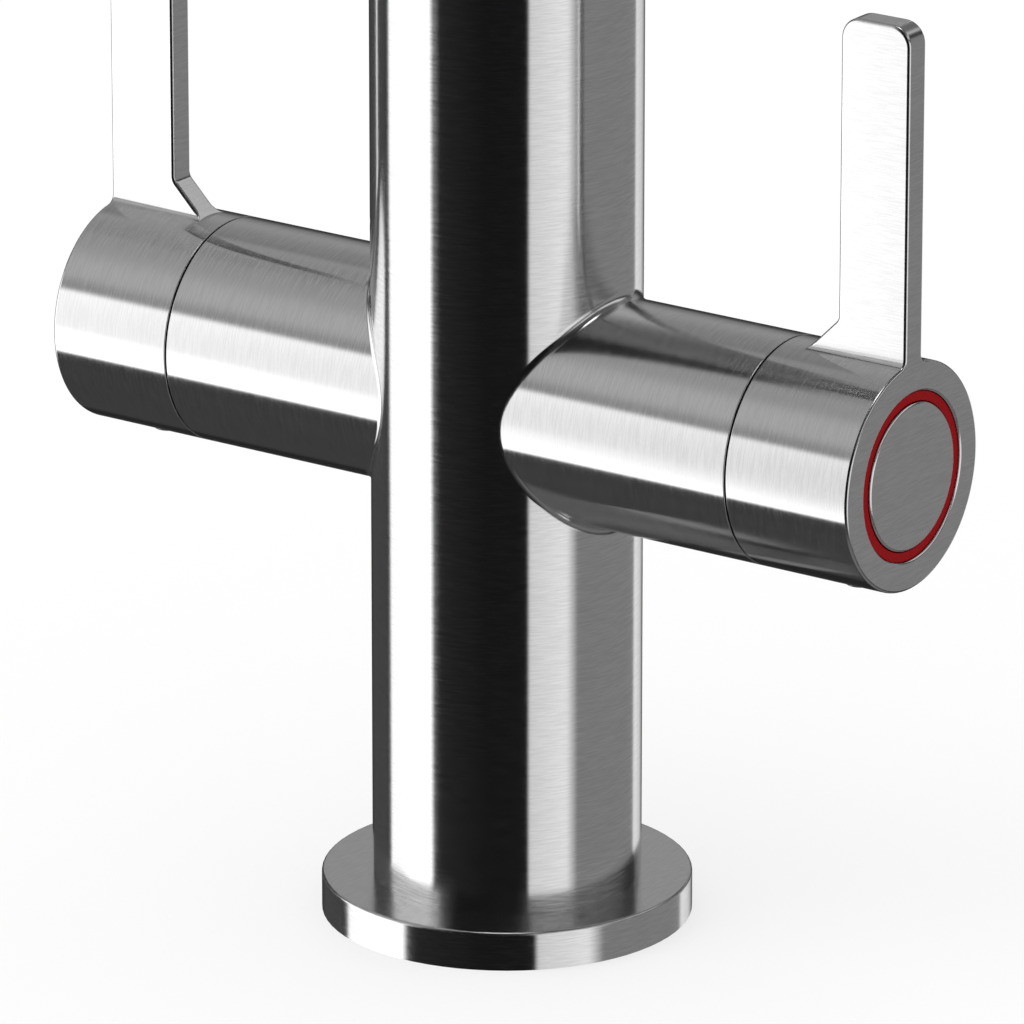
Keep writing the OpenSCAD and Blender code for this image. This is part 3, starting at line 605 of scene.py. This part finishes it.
def studio_world():
    world = bpy.data.worlds.new("studio")
    bpy.context.scene.world = world
    world.use_nodes = True
    world.cycles.sampling_method = "NONE"
    tree = world.node_tree
    tree.nodes.clear()
    place = tree.nodes.new("ShaderNodeTexCoord").outputs["Generated"]
    part = tree.nodes.new("ShaderNodeSeparateXYZ")
    tree.links.new(place, part.inputs[0])
    x, y, z = part.outputs

    def times(*values):
        total = values[0]
        for value in values[1:]:
            total = calc(tree, "MULTIPLY", total, value)
        return total

    def rise(value, fade, lo=0.0, hi=1.0):
        return ramped(tree, value, *fade, lo, hi)

    def fall(value, fade):
        return rise(value, fade, 1.0, 0.0)

    bearing = times(calc(tree, "ARCTAN2", y, x), 180 / math.pi)
    height = times(calc(tree, "ARCSINE", z), 180 / math.pi)

    # Upright walls with the key light before them
    key = times(rise(bearing, KEY_LEFT), fall(bearing, KEY_RIGHT), rise(height, KEY_FOOT))
    glow = blended(tree, key, ramp(tree, bearing, -180, 180, WALLS), rise(bearing, KEY_TURN, *KEY_GLOW))
    # Slanted walls above them. Low down only the key light's own top has a grey wall over it
    shifted = calc(tree, "ADD", bearing, times(rise(height, UPPER_TURN), UPPER_TURNED))
    upper = ramp(tree, shifted, -180, 180, UPPER)
    beside = calc(tree, "ADD", rise(bearing, UPPER_RIGHT), fall(bearing, UPPER_LEFT))
    shade = blended(tree, beside, SHADE_OVER_KEY, SHADE_BESIDE)
    shade = blended(tree, rise(height, SHADE_MIDDLE), shade, 1.0)
    shade = blended(tree, rise(height, SHADE_TOP), shade, SHADE_HIGH)
    top = calc(tree, "ADD", height, times(beside, UPPER_DROP))
    glow = blended(tree, rise(top, UPPER_FOOT), glow, times(upper, shade))
    # A softbox high on the side that the photograph doesn't show lights the arch
    side = times(rise(bearing, SIDE_LEFT), fall(bearing, SIDE_RIGHT), rise(height, SIDE_FOOT),
                 fall(height, SIDE_TOP))
    glow = blended(tree, side, glow, SIDE_GLOW)
    # The wall behind the tap narrows upwards
    narrowed = calc(tree, "SUBTRACT", bearing, times(rise(height, FAR_NARROWS), FAR_NARROWED))
    far = times(rise(narrowed, FAR_LEFT), fall(bearing, FAR_RIGHT))
    glow = blended(tree, times(far, rise(height, FAR_FOOT)), glow, ramp(tree, height, -90, 90, BEHIND))
    # The ground, lighter right below, at the bearings that the photograph doesn't show
    near = times(rise(bearing, NEAR_LEFT), fall(bearing, NEAR_RIGHT), fall(height, NEAR_TOP))
    ground = blended(tree, near, blended(tree, far, GROUND, GROUND_FAR), GROUND_NEAR)
    glow = blended(tree, rise(height, GROUND_TOP), ground, glow)
    # A lamp right above draws the light line on the upper edges in front
    glow = blended(tree, rise(height, ZENITH), glow, ZENITH_GLOW)

    # Only glossy rays see the studio, and all others see white
    path = tree.nodes.new("ShaderNodeLightPath")
    strength = blended(tree, path.outputs["Is Glossy Ray"], 1.0, glow)
    back = tree.nodes.new("ShaderNodeBackground")
    back.inputs["Color"].default_value = (1, 1, 1, 1)
    tree.links.new(strength, back.inputs["Strength"])
    out = tree.nodes.new("ShaderNodeOutputWorld")
    tree.links.new(back.outputs[0], out.inputs["Surface"])


# Share of the floor that the camera sees as plain white, so that the shadow on it is faint
WHITE_SHARE = .65


def floor():
    bpy.ops.mesh.primitive_plane_add(size=40, location=(0, 0, 0))
    plane = bpy.context.object
    plane.name = "floor"
    plane.visible_glossy = False
    mat = bpy.data.materials.new("floor_white")
    mat.use_nodes = True
    tree = mat.node_tree
    shader = tree.nodes["Principled BSDF"]
    shader.inputs["Base Color"].default_value = (.96, .96, .96, 1)
    shader.inputs["Roughness"].default_value = 1
    shader.inputs["Specular IOR Level"].default_value = 0
    white = tree.nodes.new("ShaderNodeEmission")
    white.inputs["Strength"].default_value = 1
    seen = tree.nodes.new("ShaderNodeMixShader")
    path = tree.nodes.new("ShaderNodeLightPath")
    socket(tree, calc(tree, "MULTIPLY", path.outputs["Is Camera Ray"], WHITE_SHARE), seen.inputs[0])
    tree.links.new(shader.outputs[0], seen.inputs[1])
    tree.links.new(white.outputs[0], seen.inputs[2])
    tree.links.new(seen.outputs[0], tree.nodes["Material Output"].inputs["Surface"])
    plane.data.materials.append(mat)


def lamp(name, place, size, power):
    data = bpy.data.lights.new(name, "AREA")
    data.shape = "DISK"
    data.size = size
    data.energy = power
    obj = bpy.data.objects.new(name, data)
    bpy.context.scene.collection.objects.link(obj)
    obj.location = place
    obj.rotation_euler = (Vector((0, 0, .1)) - Vector(place)).to_track_quat("-Z", "Y").to_euler()
    obj.visible_glossy = False
    obj.visible_camera = False


# The photograph's camera: bearing and height of its view, its place, and its lens on a 36 mm sensor
VIEW_BEARING = 35.175
VIEW_HEIGHT = 18.767
CAMERA_PLACE = (.77224, -1.09453, .51369)
LENS = 355.9


def camera():
    data = bpy.data.cameras.new("camera")
    data.lens = LENS
    data.sensor_width = 36
    data.clip_start = .05
    data.clip_end = 60
    obj = bpy.data.objects.new("camera", data)
    bpy.context.scene.collection.objects.link(obj)
    a, e = math.radians(VIEW_BEARING), math.radians(VIEW_HEIGHT)
    look = Vector((-math.sin(a) * math.cos(e), math.cos(a) * math.cos(e), -math.sin(e)))
    obj.location = CAMERA_PLACE
    obj.rotation_euler = look.to_track_quat("-Z", "Y").to_euler()
    bpy.context.scene.camera = obj


# ---- materials ----

# Brushed steel: colour, roughness, how strongly it is brushed, and how much the streaks change both
STEEL, ROUGHNESS, ANISOTROPY, STREAK_COLOUR, STREAK_GLOSS = .74, .14, .95, .07, .18


def noise(tree, place, scale, detail=3.0, rough=.6):
    node = tree.nodes.new("ShaderNodeTexNoise")
    tree.links.new(place, node.inputs["Vector"])
    node.inputs["Scale"].default_value = scale
    node.inputs["Detail"].default_value = detail
    node.inputs["Roughness"].default_value = rough
    return node.outputs[0]


def attribute(tree, name):
    node = tree.nodes.new("ShaderNodeAttribute")
    node.attribute_name = name
    return node.outputs["Vector"]


# The grain of the other materials: its scale, how much it changes the gloss, and its depth in metres
GRAIN_SCALE, GRAIN_GLOSS, GRAIN_DEPTH = 900, .15, .00002


def either_side(value, share):
    return value * (1 - share), value * (1 + share)


def brushed_steel():
    """For pieces whose meshes carry the brushing's direction and its streaks' places."""
    mat = bpy.data.materials.new("brushed_steel")
    mat.use_nodes = True
    tree = mat.node_tree
    shader = tree.nodes["Principled BSDF"]
    streak = noise(tree, attribute(tree, "grain"), 1, 2, .5)
    tree.links.new(ramped(tree, streak, .35, .65, *either_side(STEEL, STREAK_COLOUR), smooth=False),
                   shader.inputs["Base Color"])
    tree.links.new(ramped(tree, streak, .25, .75, *either_side(ROUGHNESS, STREAK_GLOSS), smooth=False),
                   shader.inputs["Roughness"])
    shader.inputs["Metallic"].default_value = 1
    shader.inputs["Anisotropic"].default_value = ANISOTROPY
    turn = tree.nodes.new("ShaderNodeVectorTransform")
    turn.vector_type = "VECTOR"
    turn.convert_from = "OBJECT"
    turn.convert_to = "WORLD"
    tree.links.new(attribute(tree, "across"), turn.inputs[0])
    tree.links.new(turn.outputs[0], shader.inputs["Tangent"])
    return mat


def plain(name, colour, roughness, metallic=0.0, spread=.12, specular=.5):
    """Plastic, rubber, brass and the like: a fine grain in the colour, the gloss and the surface."""
    mat = bpy.data.materials.new(name)
    mat.use_nodes = True
    tree = mat.node_tree
    shader = tree.nodes["Principled BSDF"]
    place = tree.nodes.new("ShaderNodeTexCoord").outputs["Object"]
    grain = noise(tree, place, GRAIN_SCALE)
    shade = tree.nodes.new("ShaderNodeMix")
    shade.data_type = "RGBA"
    tree.links.new(grain, shade.inputs[0])
    # The node's colour inputs are 6 and 7, and its colour output is 2
    for i, end in ((6, 0), (7, 1)):
        shade.inputs[i].default_value = (*[either_side(c, spread)[end] for c in colour], 1)
    tree.links.new(shade.outputs[2], shader.inputs["Base Color"])
    tree.links.new(ramped(tree, grain, .2, .8, *either_side(roughness, GRAIN_GLOSS), smooth=False),
                   shader.inputs["Roughness"])
    shader.inputs["Metallic"].default_value = metallic
    shader.inputs["Specular IOR Level"].default_value = specular
    relief = tree.nodes.new("ShaderNodeBump")
    relief.inputs["Strength"].default_value = .6
    relief.inputs["Distance"].default_value = GRAIN_DEPTH
    tree.links.new(grain, relief.inputs["Height"])
    tree.links.new(relief.outputs[0], shader.inputs["Normal"])
    return mat


studio_world()
floor()
lamp("key", place=(-.9, -1.1, 1.8), size=1.2, power=6)
camera()

steel = brushed_steel()
slots = {
    "black_rubber": plain("black_rubber", (.03, .03, .03), .6),
    "white_nylon": plain("white_nylon", (.82, .82, .8), .45, spread=.03),
    "brass": plain("brass", (.74, .56, .28), .28, 1.0, spread=.06),
    "ceramic": plain("ceramic", (.86, .85, .8), .15, spread=.02),
    "screw_steel": plain("screw_steel", (.42, .42, .42), .35, 1.0, spread=.1),
    "red_ring": plain("red_ring", (.235, .004, .006), .5, specular=.03),
    "blue_ring": plain("blue_ring", (.006, .04, .25), .5, specular=.03),
}
slot_of = {row["node"]: row["material_slot"] for row in frame["record"]["subparts"]}
for name, obj in nodes.items():
    obj.data.materials.clear()
    obj.data.materials.append(slots.get(slot_of[name], steel))

body_skin().piece("body_steel", "base", "tap_body", "brushed_steel", steel)
flange_skin().piece("flange_steel", "base", "base_flange", "brushed_steel", steel)
for side in ("hot", "cold"):
    for key, skin in (("lever", lever_skin()), ("end_cap", cap_skin()), ("screw_plug", plug_skin())):
        skin.piece(f"{side}_{key}_steel", f"{side}_side", f"{side}_{key}", "brushed_steel", steel,
                   side == "cold")
    ring_slot = "red_ring" if side == "hot" else "blue_ring"
    ring_skin().piece(f"{side}_ring", f"{side}_side", f"{side}_indicator_ring", ring_slot, slots[ring_slot],
                      side == "cold")
tube_skin().piece("tube_steel", "spout", "spout_tube", "brushed_steel", steel)
collar_skin().piece("collar_steel", "spout", "spout_base", "brushed_steel", steel)
outlet_skin().piece("outlet_steel", "spout", "aerator_housing", "brushed_steel", steel)

bpy.context.scene.view_settings.view_transform = "Standard"
